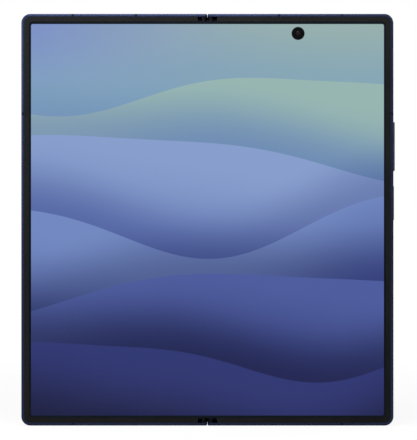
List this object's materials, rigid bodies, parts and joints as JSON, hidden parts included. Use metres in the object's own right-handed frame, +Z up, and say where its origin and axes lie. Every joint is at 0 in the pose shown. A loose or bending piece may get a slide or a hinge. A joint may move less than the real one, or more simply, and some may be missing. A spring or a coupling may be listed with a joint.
{
  "type": "foldable smartphone",
  "caption": "Book-style foldable smartphone, opened flat, with a geared double-axis hinge spine, a folding inner display, a cover display, side keys, cameras, a charging port and a card tray.",
  "frame": {"origin": "the fold line at the phone's bottom edge, in the plane of the two back glasses, with the phone opened flat", "axes": "+X to the right as the inner display is read, +Z up the phone's height, -Y out of the inner display and +Y out of the backs"},
  "size_m": [0.1437, 0.0066, 0.1584],
  "materials": {
    "navy_metal": "satin",
    "spine_metal": "satin",
    "antenna_plastic": "matte",
    "trim_plastic": "matte",
    "black_plastic": "matte",
    "back_glass": "matte",
    "cover_glass": "gloss",
    "lens_glass": "gloss",
    "flash_plastic": "gloss",
    "display": "gloss",
    "cover_display": "gloss",
    "steel": "brushed",
    "board": "matte",
    "cell_foil": "matte",
    "copper": "satin"
  },
  "bodies": {
    "right_half": {"right_frame": "navy_metal", "right_antenna_bands": "antenna_plastic", "rear_glass": "back_glass", "camera_island": "navy_metal", "camera_rings": "steel", "camera_lens_covers": "lens_glass", "wide_camera": "black_plastic", "ultrawide_camera": "black_plastic", "tele_camera": "black_plastic", "flash_lens": "flash_plastic", "main_board": "board", "board_shields": "steel", "right_battery": "cell_foil", "wireless_coil": "copper", "usb_port": "steel", "usb_tongue": "black_plastic", "bottom_speaker": "black_plastic", "speaker_mesh": "steel", "sub_board": "board", "vibration_motor": "steel", "key_switches": "copper", "inner_camera": "black_plastic", "right_display_trim": "trim_plastic", "display_right_panel": "display", "right_magnets": "steel", "right_board_screws": "steel", "right_hinge_rails": "steel", "right_sector_gears": "steel", "right_hinge_screws": "steel"},
    "hinge_spine": {"hinge_cover": "spine_metal", "hinge_end_caps": "black_plastic", "hinge_pins": "steel", "hinge_brackets": "steel", "bracket_screws": "steel", "display_fold_strip": "display"},
    "left_half": {"left_frame": "navy_metal", "left_antenna_bands": "antenna_plastic", "cover_glass": "cover_glass", "cover_display_panel": "cover_display", "cover_camera": "black_plastic", "left_battery": "cell_foil", "left_boards": "board", "top_speaker": "black_plastic", "card_reader": "steel", "left_display_trim": "trim_plastic", "display_left_panel": "display", "left_magnets": "steel", "left_board_screws": "steel", "left_hinge_rails": "steel", "left_sector_gears": "steel", "left_hinge_screws": "steel"},
    "volume_key": {"volume_key": "navy_metal"},
    "side_key": {"side_key": "navy_metal"},
    "card_tray": {"card_tray": "navy_metal"},
    "left_wing_plate": {"left_wing_plate": "steel"},
    "right_wing_plate": {"right_wing_plate": "steel"},
    "lower_left_idler": {"lower_left_idler": "steel"},
    "lower_right_idler": {"lower_right_idler": "steel"},
    "upper_left_idler": {"upper_left_idler": "steel"},
    "upper_right_idler": {"upper_right_idler": "steel"}
  },
  "joints": [
    {"name": "right_fold", "type": "hinge", "parent": "hinge_spine", "child": "right_half", "pos_m": [0.00145, -0.003, 0.0015], "axis": [0, 0, -1], "range_deg": [0, 90], "deforming": ["display_fold_strip"]},
    {"name": "left_fold", "type": "hinge", "parent": "hinge_spine", "child": "left_half", "pos_m": [-0.00145, -0.003, 0.0015], "axis": [0, 0, 1], "range_deg": [0, 90]},
    {"name": "right_wing_tilt", "type": "hinge", "parent": "right_half", "child": "right_wing_plate", "pos_m": [0.0095, -0.00318, 0.0792], "axis": [0, 0, -1], "range_deg": [0, 3.6]},
    {"name": "left_wing_tilt", "type": "hinge", "parent": "left_half", "child": "left_wing_plate", "pos_m": [-0.0095, -0.00318, 0.0792], "axis": [0, 0, 1], "range_deg": [0, 3.6]},
    {"name": "lower_left_idler_turn", "type": "hinge", "parent": "hinge_spine", "child": "lower_left_idler", "pos_m": [-0.00059, -0.00162, 0.0016], "axis": [0, 0, 1], "range_deg": [-161, 0]},
    {"name": "lower_right_idler_turn", "type": "hinge", "parent": "hinge_spine", "child": "lower_right_idler", "pos_m": [0.00059, -0.00162, 0.0016], "axis": [0, 0, 1], "range_deg": [0, 161]},
    {"name": "upper_left_idler_turn", "type": "hinge", "parent": "hinge_spine", "child": "upper_left_idler", "pos_m": [-0.00059, -0.00162, 0.1568], "axis": [0, 0, 1], "range_deg": [-161, 0]},
    {"name": "upper_right_idler_turn", "type": "hinge", "parent": "hinge_spine", "child": "upper_right_idler", "pos_m": [0.00059, -0.00162, 0.1568], "axis": [0, 0, 1], "range_deg": [0, 161]},
    {"name": "volume_key_rock", "type": "hinge", "parent": "right_half", "child": "volume_key", "pos_m": [0.0696, -0.00195, 0.1074], "axis": [0, 1, 0], "range_deg": [-1, 1], "stiffness_Nm_per_rad": 0.1},
    {"name": "side_key_press", "type": "slide", "parent": "right_half", "child": "side_key", "axis": [-1, 0, 0], "range_m": [0, 0.00025], "stiffness_N_per_m": 600, "springref_m": -0.0005},
    {"name": "card_tray_slide", "type": "slide", "parent": "left_half", "child": "card_tray", "axis": [-1, 0, 0], "range_m": [0, 0.015]}
  ],
  "couplings": [
    {"joint": "left_fold", "follows": "right_fold", "ratio": 1},
    {"joint": "right_wing_tilt", "follows": "right_fold", "ratio": 0.04},
    {"joint": "left_wing_tilt", "follows": "right_fold", "ratio": 0.04},
    {"joint": "lower_left_idler_turn", "follows": "right_fold", "ratio": -1.7778},
    {"joint": "lower_right_idler_turn", "follows": "right_fold", "ratio": 1.7778},
    {"joint": "upper_left_idler_turn", "follows": "right_fold", "ratio": -1.7778},
    {"joint": "upper_right_idler_turn", "follows": "right_fold", "ratio": 1.7778}
  ]
}
